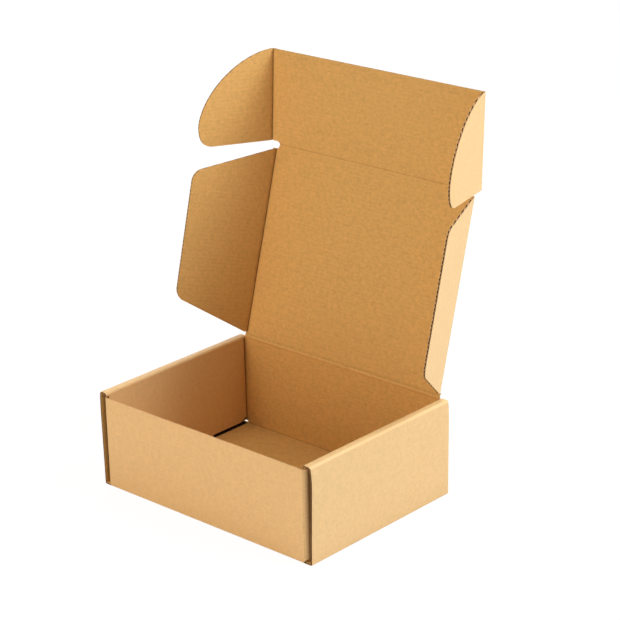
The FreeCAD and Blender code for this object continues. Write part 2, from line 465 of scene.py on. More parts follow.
def board_layers(name, board, course, low, high, locate, cutters=(), edges=(0, 0), dark=None, shade=None,
                 coarse=False):
    """Two liners and the fluted sheet between them.

    The course runs along the flutes, and low to high across them. locate turns a
    course point, its normal, a distance from the mid-line and a place across the
    flutes into a point of the model. Cutters are closed solids that trim the board.
    edges says how far each of the two long edges is pressed together. coarse halves the faces.
    dark marks faces that take the near-black painted shade; shade(point) paints shade above zero and a
    highlight below.
    """
    half = board.thickness / 2
    pitch = board.pitch
    span = high - low
    flutes = max(1, span / pitch)
    inner_rows = min(max(4, round(span / (COARSE_ROW if coarse else FINE_ROW))), MOST_ROWS)
    rows = [low] + [low + step for step in NEAR_EDGE]
    if span > NARROW_BOARD:
        rows += spread(low + ROW_MARGIN, high - ROW_MARGIN, inner_rows)
    else:
        rows.append(low + span / 2)
    rows += [high - step for step in reversed(NEAR_EDGE)] + [high]

    def near_edges(value, reach, shares):
        total = 0
        for share, near in zip(shares, (value - low, high - value)):
            total += share * math.exp(-(near / reach) ** 2)
        return total

    def pinch(value):
        return 1 - near_edges(value, PINCH_REACH, edges)

    # Pressed cut edges are paler: the paper's own wear at the cut
    def toned(value):
        return near_edges(value, WEAR_REACH, [1 if share else 0 for share in edges])

    layers = []
    first_point, first_normal, _, _ = course[0]
    upward = locate(first_point, first_normal, half, low) - locate(first_point, first_normal, 0, low)
    for face, material in ((1, "kraft_inner"), (-1, "kraft_outer")):
        offset = face * (half - board.liner / 2)

        def place(column, row, offset=offset):
            point, normal, _, squeeze = course[column]
            return locate(point, normal, offset * squeeze * pinch(rows[row]), rows[row])

        def chart(column, row):
            return (course[column][2], rows[row])

        # Tone: paler at worn cut edges, minus shade(point), which paints shade above zero and a highlight
        # below zero
        def wear_and_painted_light(column, row):
            deep = shade(course[column][0]) if shade else 0
            return toned(rows[row]) - deep

        sheet = grid_sheet(name + "_liner", len(course), len(rows), place, chart, wear_and_painted_light)
        thicken(sheet, board.liner, material, -upward if face > 0 else None, dark)
        layers.append(sheet)
    swing = half - board.liner - board.medium / 2
    count = round(flutes * board.flute_steps / (2 if coarse else 1)) + 1
    wave_rows = spread(low, high, count)

    def wave_place(column, row):
        point, normal, _, squeeze = course[column]
        value = wave_rows[row]
        height = swing * math.sin(2 * math.pi * (value - low) / pitch)
        return locate(point, normal, height * squeeze * pinch(value), value)

    def wave_chart(column, row):
        return (course[column][2], wave_rows[row])

    flute = grid_sheet(name + "_flutes", len(course), count, wave_place, wave_chart, lambda column, row: 0)
    thicken(flute, board.medium, "kraft_cut", upward)
    layers.append(flute)
    for layer in layers:
        outward(layer)
        cut_with(layer, cutters)
    for layer in layers:
        smooth_faces(layer)
    return layers


def remove(pieces):
    """Deletes pieces that were only used to cut."""
    start_clean()
    for piece in pieces:
        piece.select_set(True)
    bpy.ops.object.delete()


def outline_prism(points, matrix, low, high, rounds=None):
    """A closed prism through the board. rounds maps a corner's index to its bevel offset."""
    start_clean()
    bpy.ops.mesh.primitive_circle_add(vertices=len(points), fill_type="NGON")
    prism = bpy.context.active_object
    for vertex, (a, b) in zip(prism.data.vertices, points):
        vertex.co = (a, b, low)
    bpy.ops.object.mode_set(mode="EDIT")
    for index, offset in sorted((rounds or {}).items(), reverse=True):
        place = Vector((points[index][0], points[index][1], low))
        bpy.ops.mesh.select_all(action="DESELECT")
        bpy.ops.object.mode_set(mode="OBJECT")
        for vertex in prism.data.vertices:
            vertex.select = (vertex.co - place).length < 1e-6
        bpy.ops.object.mode_set(mode="EDIT")
        bpy.ops.mesh.select_mode(type="VERT")
        bpy.ops.mesh.bevel(offset=offset, segments=BEVEL_STEPS, affect="VERTICES", offset_type="OFFSET",
                           clamp_overlap=False)
    bpy.ops.mesh.select_all(action="SELECT")
    bpy.ops.mesh.extrude_region_move(TRANSFORM_OT_translate={"value": (0, 0, high - low)})
    bpy.ops.mesh.select_all(action="SELECT")
    bpy.ops.mesh.normals_make_consistent(inside=False)
    bpy.ops.object.mode_set(mode="OBJECT")
    prism.matrix_world = matrix
    bpy.ops.object.transform_apply(location=True, rotation=True, scale=True)
    return prism


def block(x, y, z):
    """A box between pairs of limits, used to cut."""
    start_clean()
    centre = [(low + high) / 2 for low, high in (x, y, z)]
    size = [abs(high - low) for low, high in (x, y, z)]
    bpy.ops.mesh.primitive_cube_add(size=1, location=centre, scale=size)
    bpy.ops.object.transform_apply(location=True, rotation=True, scale=True)
    return bpy.context.active_object


def peg(centre, axis, radius, depth):
    """A round peg, used to cut."""
    start_clean()
    turn = axis.to_track_quat("Z", "Y").to_euler()
    bpy.ops.mesh.primitive_cylinder_add(
        vertices=PEG_SIDES, radius=radius, depth=depth, location=centre, rotation=turn)
    bpy.ops.object.transform_apply(location=True, rotation=True, scale=True)
    return bpy.context.active_object


def smoothstep(value):
    """Zero to one with flat ends."""
    value = min(max(value, 0), 1)
    return value * value * (3 - 2 * value)


def crease_strip(name, board, origin, along, across, inward, limits, half_width, angle, pivot, dents,
                 cutters=()):
    """A strip of crushed board that bends from one panel to the next.

    across points from the parent panel to the child's flat place, inward to the
    inner face. dents(s, a) gives how far the inner and the outer face move inwards,
    and how much paler (above zero) or darker (below zero) the inner face is there.
    """
    thickness = board.thickness
    low, high = limits
    columns = max(8, round((high - low) / CREASE_COLUMN))
    lengths = spread(low, high, columns)
    widths = spread(-half_width, half_width, CREASE_ROWS)

    def bend(s, depth, a):
        turn = angle * smoothstep((s + half_width) / (2 * half_width))
        rise = depth + pivot
        flat = s * math.cos(turn) - rise * math.sin(turn)
        lift = s * math.sin(turn) + rise * math.cos(turn) - pivot
        return origin + along * a + across * flat + inward * lift

    faces = []
    for face, material in ((0, "kraft_inner"), (1, "kraft_outer")):
        def place(column, row, face=face):
            s, a = widths[row], lengths[column]
            depth = -thickness * face + dents(s, a)[face]
            edge = board.liner / 2 if face else -board.liner / 2
            return bend(s, depth + edge, a)

        def chart(column, row):
            return (lengths[column], widths[row])

        # Tone: the outside is paler at the fold, and the inside takes the dents' tone
        def wear_and_painted_light(column, row, face=face):
            if face:
                return CREASE_PALE * math.exp(-(widths[row] / CREASE_PALE_WIDTH) ** 2)
            return dents(widths[row], lengths[column])[2]

        strip = grid_sheet(name + "_face", columns, CREASE_ROWS, place, chart, wear_and_painted_light)
        thicken(strip, board.liner, material)
        outward(strip)
        cut_with(strip, cutters)
        smooth_faces(strip, CREASE_SHARP)
        faces.append(strip)

    def core_place(column, row):
        s, a = widths[row], lengths[column]
        inner, outer, _ = dents(s, a)
        return bend(s, -thickness / 2 + (inner + outer) / 2, a)

    core = grid_sheet(name + "_core", columns, CREASE_ROWS, core_place, lambda c, r: (lengths[c], widths[r]),
                      lambda c, r: 0)
    # The crushed core takes the near-black painted shade
    thicken(core, thickness - CORE_LINERS * board.liner - CORE_PRESSED, "kraft_painted_shade")
    outward(core)
    cut_with(core, cutters)
    faces.append(core)
    middle = -thickness / 2
    return join(faces, name), bend(-half_width, middle, 0), bend(half_width, middle, 0)


def waver(a, seed):
    """A slow random change along a crease, from -1 to 1."""
    return noise.noise(Vector((a * WAVER_SCALE, seed, 0.3))) * WAVER_GAIN


def fold_dents(depth, seed):
    """Dents of a crease that folds inwards: a scored channel, pressed a little flatter outside."""
    def dents(s, a):
        score = math.exp(-((s - 0.15 * MM * waver(a, seed)) / (0.5 * MM)) ** 2)
        deep = depth * score * (1 + 0.2 * waver(a, seed + 20))
        # The last value darkens the scored channel: mostly painted shade, partly the pressed paper's own
        # darker tone
        return -deep, 0.15 * deep, -score
    return dents


def ridge_dents(ridge, line, outside, border, change):
    """Dents of a crease with a soft ridge below it and a pressed line above it, in millimetres.

    ridge: height, distance below, width, width of its painted highlight, seed. line: depth, distance above,
    wander, width, darkness of its painted shade, two seeds. outside: height and width. border: half width and
    fade.
    """
    height, below, width, highlight_width, seed = ridge
    depth, above, wander, line_width, darkness, wander_seed, depth_seed = line

    def dents(s, a):
        below_s = s + below * MM
        raised = height * MM * math.exp(-(below_s / (width * MM)) ** 2) * (1 + change * waver(a, seed))
        line_s = s - (above + wander * waver(a, wander_seed)) * MM
        press = math.exp(-(line_s / (line_width * MM)) ** 2)
        pressed = depth * MM * press * (1 + change * waver(a, depth_seed))
        fade = smoothstep((border[0] * MM - abs(s)) / (border[1] * MM))
        # The pale band along the ridge is a painted highlight, and the pressed line's darkness is painted
        # shade
        wear_and_painted_light = 0.9 * math.exp(-(below_s / (highlight_width * MM)) ** 2) - darkness * press
        back = outside[0] * MM * math.exp(-(s / (outside[1] * MM)) ** 2) * fade
        return (raised - pressed) * fade, back, wear_and_painted_light
    return dents


# Lid and front creases: a painted highlight on the ridge and painted shade in the pressed line
lid_dents = ridge_dents(
    ridge=(0.48, 1.1, 1.1, 0.9, 4.2), line=(0.18, 1.0, 0.3, 0.9, 0.22, 2.6, 7.7), outside=(0.3, 0.9),
    border=(3.0, 0.8), change=0.6)
front_dents = ridge_dents(
    ridge=(0.34, 0.9, 0.7, 0.6, 1.7), line=(0.30, 0.3, 0.2, 0.6, 0.30, 5.6, 9.1), outside=(0.2, 0.8),
    border=(2.4, 0.7), change=0.5)


# Materials

WHITE = (1, 1, 1, 1)
CLOUD_SCALE = 300
FIBRE_SCALE = 900
FIBRE_SHARE = 0.8
FIBRE_STRETCH = (0.35, 1, 1)
MOTTLE_MIDDLE = 0.9
DRIFT_SCALE = 45
SPECK_SCALE = 520
SPECK_RANGE = (0.62, 0.78)
SPECK_TINT = (0.82, 0.76, 0.66, 1)
SPECK_SHARE = 0.6
FLUTES_SHOWN = (0.30, 0.65)
# How far a tone above zero pales the paper: worn edges and painted highlights
PALE_SHARE = 0.35
PALE_GAIN = 1.12
PALE_ADD = 0.02
# How far a tone below zero darkens the paper, and the darkest share of its colour: painted shade
PAINTED_SHADE_SHARE = 0.75
PAINTED_SHADE_DARK = 0.22
FIBRE_HEIGHT = 0.05 * MM


def add_node(tree, kind, place, inputs=None, **values):
    """A node at a place with these settings. Its inputs are linked to sockets or set to values."""
    node = tree.nodes.new(kind)
    node.location = place
    for key, value in values.items():
        setattr(node, key, value)
    for key, value in (inputs or {}).items():
        if isinstance(value, bpy.types.NodeSocket):
            tree.links.new(value, node.inputs[key])
        else:
            node.inputs[key].default_value = value
    return node


def calculate(tree, place, operation, *values, **settings):
    """The result of a math node, whose inputs are sockets or numbers."""
    return add_node(tree, "ShaderNodeMath", place, dict(enumerate(values)), operation=operation,
                    **settings).outputs[0]


def noise_value(tree, place, vector, scale, detail=2, roughness=0.5):
    """Noise from 0 to 1."""
    settings = {"Vector": vector, "Scale": scale, "Detail": detail, "Roughness": roughness}
    return add_node(tree, "ShaderNodeTexNoise", place, settings, noise_dimensions="3D").outputs["Fac"]


def new_group(name, inputs, outputs):
    """A node group with named sockets, its input node and its output node."""
    group = bpy.data.node_groups.new(name, "ShaderNodeTree")
    for socket_name, kind, default in inputs:
        socket = group.interface.new_socket(name=socket_name, in_out="INPUT", socket_type=kind)
        if default is not None:
            socket.default_value = default
    for socket_name in outputs:
        group.interface.new_socket(name=socket_name, in_out="OUTPUT", socket_type="NodeSocketFloat")
    enter = add_node(group, "NodeGroupInput", (-900, 0))
    leave = add_node(group, "NodeGroupOutput", (500, 0))
    return group, enter.outputs, leave.inputs


def paper_fibre_group():
    """Cloudy mottle and fine fibres of kraft paper: a mask around zero, specks and a height."""
    group, enter, leave = new_group(
        "Paper Fibres", [("Vector", "NodeSocketVector", None)], ["Mottle", "Specks", "Height"])
    vector = enter["Vector"]
    clouds = noise_value(group, (-600, 300), vector, CLOUD_SCALE, 4, 0.62)
    stretch = add_node(group, "ShaderNodeMapping", (-700, 0), {"Vector": vector, "Scale": FIBRE_STRETCH})
    fibres = noise_value(group, (-500, 0), stretch.outputs["Vector"], FIBRE_SCALE, 3)
    specks = noise_value(group, (-500, -300), vector, SPECK_SCALE)
    speck_range = add_node(group, "ShaderNodeMapRange", (-250, -300), {
        "Value": specks, "From Min": SPECK_RANGE[0], "From Max": SPECK_RANGE[1]})
    weaker_fibres = calculate(group, (-350, 60), "MULTIPLY", fibres, FIBRE_SHARE)
    both = calculate(group, (-250, 200), "ADD", clouds, weaker_fibres)
    centred = calculate(group, (0, 200), "SUBTRACT", both, MOTTLE_MIDDLE)
    group.links.new(centred, leave["Mottle"])
    group.links.new(speck_range.outputs["Result"], leave["Specks"])
    group.links.new(both, leave["Height"])
    return group


def washboard_group():
    """The flutes that show through a liner, across its flat chart."""
    group, enter, leave = new_group(
        "Washboard", [("Chart", "NodeSocketVector", None), ("Pitch", "NodeSocketFloat", 3.27 * MM)], ["Wave"])
    split = add_node(group, "ShaderNodeSeparateXYZ", (-700, 0), {"Vector": enter["Chart"]})
    drift = noise_value(group, (-700, -250), enter["Chart"], DRIFT_SCALE)
    turns = calculate(group, (-500, 0), "DIVIDE", split.outputs["Y"], enter["Pitch"])
    angle = calculate(group, (-300, 0), "MULTIPLY", turns, 2 * math.pi)
    sine = calculate(group, (-100, 0), "SINE", angle)
    fade = add_node(group, "ShaderNodeMapRange", (-300, -250), {
        "Value": drift, "From Min": FLUTES_SHOWN[0], "From Max": FLUTES_SHOWN[1]})
    shown = calculate(group, (150, 0), "MULTIPLY", sine, fade.outputs["Result"])
    group.links.new(shown, leave["Wave"])
    return group


def kraft_material(name, colour, board, groups, mottle, washboard, streaks, roughness, gloss):
    """Kraft paper: a brown that varies in clouds and specks, with the flutes faintly showing through.

    Its tone attribute pales it above zero, for worn edges and painted highlights, and darkens it below, for
    painted shade and the pressed scores.
    """
    material = bpy.data.materials.new(name)
    material.use_nodes = True
    tree = material.node_tree
    shader = tree.nodes["Principled BSDF"]
    shader.inputs["Roughness"].default_value = roughness
    shader.inputs["Specular IOR Level"].default_value = gloss
    where = add_node(tree, "ShaderNodeTexCoord", (-1300, 0)).outputs
    fibres = add_node(tree, "ShaderNodeGroup", (-1000, 200), {"Vector": where["Object"]},
                      node_tree=groups["fibres"]).outputs
    wave = add_node(tree, "ShaderNodeGroup", (-1000, -200), {"Chart": where["UV"], "Pitch": board.pitch},
                    node_tree=groups["washboard"]).outputs["Wave"]
    gain = calculate(tree, (-780, 200), "MULTIPLY_ADD", fibres["Mottle"], mottle, 1.0)
    lines = calculate(tree, (-780, 0), "MULTIPLY_ADD", wave, streaks, gain)
    base = add_node(tree, "ShaderNodeVectorMath", (-520, 100), {0: colour, "Scale": lines}, operation="SCALE")
    speck_gain = calculate(tree, (-520, -60), "MULTIPLY", fibres["Specks"], SPECK_SHARE)
    dark = add_node(tree, "ShaderNodeMix", (-320, 100), {
        "Factor": speck_gain, "A": base.outputs["Vector"], "B": SPECK_TINT},
        data_type="RGBA", blend_type="MULTIPLY")
    # The tone attribute: worn edges and painted highlights above zero, painted shade below zero
    wear_and_painted_light = add_node(tree, "ShaderNodeAttribute", (-520, -260), attribute_name="wear_and_painted_light").outputs["Fac"]
    pale_amount = calculate(tree, (-320, -260), "MULTIPLY", wear_and_painted_light, PALE_SHARE, use_clamp=True)
    pale = [min(1, channel * PALE_GAIN + PALE_ADD) for channel in colour]
    toned = add_node(tree, "ShaderNodeMix", (-120, 100), {
        "Factor": pale_amount, "A": dark.outputs["Result"], "B": (*pale, 1)}, data_type="RGBA")
    # Below zero the colour darkens towards a deep brown: painted shade in creases, corner tabs and seams
    score = add_node(tree, "ShaderNodeMapRange", (-320, -400), {
        "Value": wear_and_painted_light, "From Min": 0.0, "From Max": -1.0, "To Max": PAINTED_SHADE_SHARE})
    deep = [channel * PAINTED_SHADE_DARK for channel in colour]
    shade_painted = add_node(tree, "ShaderNodeMix", (60, 100), {
        "Factor": score.outputs["Result"], "A": toned.outputs["Result"], "B": (*deep, 1)}, data_type="RGBA")
    tree.links.new(shade_painted.outputs["Result"], shader.inputs["Base Color"])
    fine = calculate(tree, (-760, -520), "MULTIPLY", fibres["Height"], FIBRE_HEIGHT)
    height = calculate(tree, (-520, -460), "MULTIPLY_ADD", wave, washboard, fine)
    bump = add_node(tree, "ShaderNodeBump", (-200, -460), {
        "Height": height, "Distance": 1.0, "Strength": 1.0})
    tree.links.new(bump.outputs["Normal"], shader.inputs["Normal"])


def make_materials(scene):
    """The papers of the board: two liners, a near-black painted shade for the openings and hollows that no
    light reaches, and the cut edge.
    """
    board, paper = scene.mailer_board, scene.mailer_paper
    groups = {"fibres": paper_fibre_group(), "washboard": washboard_group()}
    for name, colour, mottle, flutes, roughness, gloss in (
        ("kraft_outer", paper.outer, 0.6, 0.5, 0.6, 0.45),
        ("kraft_inner", paper.inner, 1.0, 1.0, 0.85, 0.2),
        ("kraft_painted_shade", paper.flute, 1.5, 0.0, 0.95, 0.1),
        ("kraft_cut", paper.cut, 1.5, 0.0, 0.95, 0.1),
    ):
        kraft_material(name, colour, board, groups, paper.mottle * mottle, paper.washboard * flutes,
                       paper.streaks * flutes, roughness, gloss)


def finish_piece(piece, body, node):
    """Gives a finished piece its body and hides the solid part of the node that it stands for."""
    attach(piece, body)
    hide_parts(node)


# Operators

class MAILER_OT_papers(bpy.types.Operator):
    """Makes the kraft papers"""
    bl_idname = "mailer.papers"
    bl_label = "Papers"

    def execute(self, context):
        make_materials(context.scene)
        return {"FINISHED"}


class MAILER_OT_tray(bpy.types.Operator):
    """Builds the tray: floor, rolled side walls, front and back walls with their corner tabs"""
    bl_idname = "mailer.tray"
    bl_label = "Tray"

    # A side wall's heights: above its fold with the floor, and where its inner panel's ends lean in
    wall_foot = 3 * MM
    lean_top = 22 * MM
    lean_start, lean_width = 75 * MM, 5 * MM
    # Where the inner panel is cut back for the front wall and the back wall, below the rolled edge
    front_trim, front_trim_width = 1.1 * MM, 0.7 * MM
    back_trim, back_trim_width = 1.8 * MM, 0.4 * MM
    # The outer panel bows out up to this height, most at its front
    bulge_top, bulge_end = 72 * MM, 10 * MM
    bulge_front, bulge_back = 26 * MM, 15 * MM
    ripple_height, ripple_start, ripple_width = 0.10 * MM, 70 * MM, 12 * MM
    # The front wall's upper edge sags a little, and its corners are folded in behind the side walls
    sag_height, sag_reach, sag_width = 0.22 * MM, 12 * MM, 3 * MM
    tuck_start, tuck_width, tuck_depth = 98 * MM, 10 * MM, 1.3 * MM
    lift_reach = 9 * MM
    lock_half, slot_half, slot_gap = 12 * MM, 12.5 * MM, 0.5 * MM
    # A painted highlight along the outer corner of a rolled wall: its strength, given as a negative shade,
    # and its width
    stretch_shade, stretch_width = -2.5, 1.1 * MM
    near_corner = (0.4 * MM, 1 * MM, 2 * MM, 3.5 * MM, 6 * MM, 10 * MM)
    fold_columns = 25

    def execute(self, context):
        scene = context.scene
        board, tray = scene.mailer_board, scene.mailer_tray
        low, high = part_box("tray")
        hinge, _, _ = joint("lid_hinge")
        t = board.thickness
        width = high.x - low.x
        back = high.y
        front = low.y
        side_front = front + tray.front_stand
        top = hinge.z - t / 2 - 0.15 * MM
        outer_x = width / 2 - t / 2
        inner_x = width / 2 - tray.wall + t / 2
        tab_x = inner_x + t + 0.1 * MM
        floor_half = inner_x - t / 2 - 0.4 * MM
        foot = t + tray.foot_gap
        roll_z = top - t / 2
        front_mid = front + t / 2
        back_mid = back - t / 2
        front_top = top - tray.front_drop
        back_top = hinge.z - tray.hinge_crease
        inner_front = front + t + tray.end_gap + 1 * MM
        inner_back = back - t - tray.end_gap - 0.5 * MM
        lock_places = (-tray.lock_place, tray.lock_place)
        layers = []
        slots = []
        for _, side in SIDES:
            slot_x = sorted((side * (inner_x - t / 2 - self.slot_gap),
                             side * (inner_x + t / 2 + self.slot_gap)))
            for place in lock_places:
                slots.append(block(slot_x, (place - self.slot_half, place + self.slot_half),
                                   (-1 * MM, t + 0.3 * MM)))
        cut = join(slots, "floor_slots")
        marks = [front_top + 0.4 * MM, front_top + self.front_trim, 10 * MM, 18 * MM, 55 * MM, 68 * MM,
                 76 * MM, top - 2.2 * MM, top - self.back_trim]

        def in_hollow(spot):
            """Where the near-black painted shade goes: deep between two panels of a rolled wall, and further
            back at its foot.
            """
            end = tray.rear_hollow if spot.z < 8 * MM else tray.hollow
            return side_front + tray.hollow < spot.y < back - end

        def roll_highlight(spot):
            """A painted highlight along the outer corner of a rolled wall."""
            outer = abs(spot.x) > outer_x - self.stretch_width and spot.y > roll_z - self.stretch_width
            return self.stretch_shade if outer else 0

        for (_, side), bulge in zip(SIDES, (tray.bulge_left, tray.bulge_right)):
            points = [Vector(p) for p in (
                (-inner_x, foot), (-inner_x, roll_z), (-outer_x, roll_z), (-outer_x, t / 2),
                (-floor_half, t / 2))]
            radii = [board.sharp_bend, board.bend, board.sharp_bend]
            if side > 0:
                points = [Vector((-p.x, p.y)) for p in reversed(points)]
                radii.reverse()
            course = bent_course(points, radii, board.bend_crush, marks=marks)

            def locate(point, normal, offset, y, side=side, bulge=bulge):
                across = abs(point.x)
                height = point.y
                on_inner = height > self.wall_foot and across < inner_x + board.sharp_bend - 0.01 * MM
                trim_front = smoothstep((front_top + self.front_trim - height) / self.front_trim_width)
                trim_back = smoothstep((top - self.back_trim - height) / self.back_trim_width)
                share = (y - side_front) / (back - side_front)
                start = side_front + (inner_front - side_front) * (trim_front if on_inner else 0)
                stop = back + (inner_back - back) * (trim_back if on_inner else 0)
                spot = point + normal * offset
                if on_inner and height < self.lean_top:
                    ends = smoothstep((abs(y) - self.lean_start) / self.lean_width)
                    spot.y += tray.foot_cut * ends * (self.lean_top - height) / (self.lean_top - foot)
                out = min(max((across - inner_x) / (outer_x - inner_x), 0), 1)
                if height <= self.wall_foot:
                    out = 0
                rise = smoothstep(height / self.bulge_top)
                rise *= 1 - 0.7 * smoothstep((height - self.bulge_top) / self.bulge_end)
                near = 0.15 + 0.85 * math.exp(-(y - side_front) / self.bulge_front)
                near += 0.3 * math.exp((y - back) / self.bulge_back)
                ripple = self.ripple_height * waver(y, 12 + side)
                ripple *= smoothstep((height - self.ripple_start) / self.ripple_width)
                bow = bulge * rise * near * out + ripple * out
                return Vector((spot.x + side * bow, start + (stop - start) * share, spot.y + ripple))

            # Faces deep in a rolled wall's hollow take the near-black painted shade
            layers += board_layers(
                "side_wall", board, course, side_front, back, locate, [(cut, "DIFFERENCE")],
                edges=(board.side_crush, board.side_crush), coarse=True, shade=roll_highlight, dark=in_hollow)
        remove([cut])
        floor_front = front + board.bend + t / 2
        floor_back = back - board.bend - t / 2

        def floor_locate(point, normal, offset, y):
            return Vector((point.x, y, t / 2 + offset))

        layers += board_layers("floor", board, straight_course(-floor_half, floor_half, 5), floor_front,
                               floor_back, floor_locate, coarse=True)

        # Painted shade on the front wall's corner tabs, darker deeper into the gap behind the side walls
        def front_shade(spot):
            depth = spot.y - front_mid
            near = smoothstep((depth - 0.3 * MM) / (0.6 * MM))
            return 0.5 * near + 0.6 * smoothstep((depth - 1 * MM) / (2.5 * MM))

        # Painted shade on the back wall's corner tabs, just behind the wall's fold
        def back_shade(spot):
            return smoothstep((back_mid - spot.y - 0.7 * MM) / (0.5 * MM))

        for name, heading, wall_mid, wall_top, sag_top, shade, crush in (
            ("front_wall", -1, front_mid, front_top, front_top, front_shade, board.edge_crush),
            ("back_wall", 1, back_mid, back_top, 1, back_shade, 0),
        ):
            def wall_locate(point, normal, offset, z, wall_mid=wall_mid, sag_top=sag_top):
                spot = point + normal * offset
                away = abs(point.y - wall_mid)
                turned = max(smoothstep(away / (1 * MM)),
                             smoothstep((abs(point.x) - tab_x + 0.5 * MM) / (0.8 * MM)))
                lift = tray.tab_lift * turned * max(0, 1 - (z - tray.tab_notch) / self.lift_reach)
                edge = smoothstep((z - sag_top + self.sag_reach) / self.sag_reach)
                edge *= smoothstep((self.sag_width - away) / (2 * MM))
                sag = self.sag_height * waver(point.x, wall_mid * 40) * edge
                tuck = tray.corner_tuck * smoothstep((abs(point.x) - self.tuck_start) / self.tuck_width)
                tuck *= math.exp(-(away / self.tuck_depth) ** 2)
                return Vector((spot.x - math.copysign(tuck, point.x), spot.y, z + lift + sag))

            tab_end = wall_mid - heading * tray.tab_length
            path = [Vector((heading * x, y)) for x, y in (
                (tab_x, tab_end), (tab_x, wall_mid), (-tab_x, wall_mid), (-tab_x, tab_end))]
            course = bent_course(path, [board.tab_bend] * 2, board.tab_crush, close=self.near_corner)
            layers += board_layers(name, board, course, tray.tab_notch, wall_top, wall_locate,
                                   edges=(0, crush), shade=shade, coarse=True)
        for wall_mid, heading, floor_edge in ((front_mid, -1, floor_front), (back_mid, 1, floor_back)):
            path = [Vector((floor_edge - heading * 0.01 * MM, t / 2)), Vector((wall_mid, t / 2)),
                    Vector((wall_mid, tray.tab_notch))]
            fold = bent_course(path, [board.bend], board.bend_crush, steps=8)
            for face, material in ((1, "kraft_inner"), (-1, "kraft_outer")):
                offset = face * (t / 2 - board.liner / 2) * heading

                def place(column, row, offset=offset):
                    point, normal, _, squeeze = fold[row]
                    spot = point + normal * offset * squeeze
                    x = -floor_half + 2 * floor_half * column / (self.fold_columns - 1)
                    return Vector((x, spot.x, spot.y))

                # The fold's inner face is darker, painted shade in the seam between floor and wall, and its
                # outer face a little paler
                strip = grid_sheet(
                    "fold", self.fold_columns, len(fold), place, lambda c, r: (c * 9 * MM, fold[r][2]),
                    lambda c, r: -0.5 if face > 0 else 0.3)
                thicken(strip, board.liner, material)
                outward(strip)
                smooth_faces(strip)
                layers.append(strip)
        for _, side in SIDES:
            for middle in lock_places:
                def lock_locate(point, normal, offset, y, side=side):
                    return Vector((side * (inner_x - offset), y, point.x))

                layers += board_layers(
                    "lock", board, straight_course(0.2 * MM, foot), middle - self.lock_half,
                    middle + self.lock_half, lock_locate, edges=(board.edge_crush, board.edge_crush))
        finish_piece(join(layers, "tray_board"), "tray", "tray")
        return {"FINISHED"}


class MAILER_OT_lid(bpy.types.Operator):
    """Builds the lid panel"""
    bl_idname = "mailer.lid"
    bl_label = "Lid"

    def execute(self, context):
        scene = context.scene
        board, lid, tray = scene.mailer_board, scene.mailer_lid, scene.mailer_tray
        matrix, half, length = lid_measures(board)
        t = board.thickness
        crease = board.crease_half
        start = tray.hinge_crease
        stop = length - crease
        wide = length - lid.flap_stop
        points = [
            (half - crease, start), (half - crease, wide), (half, wide), (half, stop),
            (-half, stop), (-half, wide), (-half + crease, wide), (-half + crease, start),
        ]
        cutter = outline_prism(points, matrix, -t - 1 * MM, 1 * MM)
        pegs = slot_pegs(board, lid)
        past = 0.001 * MM
        cutters = [(cutter, "INTERSECT")] + [(one, "DIFFERENCE") for one in pegs]
        layers = board_layers("lid", board, straight_course(-half - crease, half + crease, 7), start - past,
                              stop + past, flat_locate(matrix, t), cutters)
        remove([cutter] + pegs)
        finish_piece(join(layers, "lid_board"), "lid", "lid_panel")
        return {"FINISHED"}


class MAILER_OT_side_flaps(bpy.types.Operator):
    """Builds the lid's two side flaps"""
    bl_idname = "mailer.side_flaps"
    bl_label = "Side flaps"

    def execute(self, context):
        scene = context.scene
        board, lid = scene.mailer_board, scene.mailer_lid
        parent, _, length = lid_measures(board)
        local = parent.inverted()
        t = board.thickness
        root = board.crease_half
        front_edge = length - lid.flap_stop
        front = length - lid.flap_front
        rear = lid.flap_rear
        radius = lid.flap_round * BEVEL_SHARE
        for name, side, angle, front_shift, rear_shift in (
            ("left", -1, lid.left_flap_angle, lid.front_corner_left, lid.rear_corner_left),
            ("right", 1, lid.right_flap_angle, 0, 0),
        ):
            axis_point = local @ joint("side_flap_fold_" + name)[0]
            matrix = folded_frame(parent, parent @ Vector((axis_point.x, 0, 0)), side, angle)
            # Where the two slanted edges cross the crease's border
            rear_root = lid.flap_start + (rear - lid.flap_start) * root / lid.flap_rear_depth
            front_root = front_edge + (front - front_edge) * root / lid.flap_depth
            corners = [
                (root, side * rear_root), (lid.flap_rear_depth, side * (rear + rear_shift)),
                (lid.flap_depth, side * (front + front_shift)), (root, side * front_root),
            ]
            cutter = outline_prism(corners, matrix, -t - TRIM_REACH, TRIM_REACH, {1: radius, 2: radius})
            ends = sorted((side * lid.flap_start, side * front_edge))
            course = straight_course(root, lid.flap_depth + 1 * MM, 9)
            layers = board_layers("side_flap", board, course, *ends, flat_locate(matrix, t),
                                  [(cutter, "INTERSECT")])
            remove([cutter])
            piece = join(layers, "side_flap_board_" + name)
            finish_piece(piece, "side_flap_" + name, "lid_side_flap_" + name)
        return {"FINISHED"}


class MAILER_OT_front_flap(bpy.types.Operator):
    """Builds the front flap"""
    bl_idname = "mailer.front_flap"
    bl_label = "Front flap"

    def execute(self, context):
        scene = context.scene
        board, lid = scene.mailer_board, scene.mailer_lid
        matrix = front_frame()
        half = abs((matrix.inverted() @ joint("ear_fold_right")[0]).x) - board.crease_half
        layers = board_layers("front_flap", board, straight_course(-half, half, 7), lid.front_start,
                              lid.front_length, flat_locate(matrix, board.thickness),
                              edges=(0, board.edge_crush))
        finish_piece(join(layers, "front_flap_board"), "front_flap", "lid_front_flap")
        return {"FINISHED"}


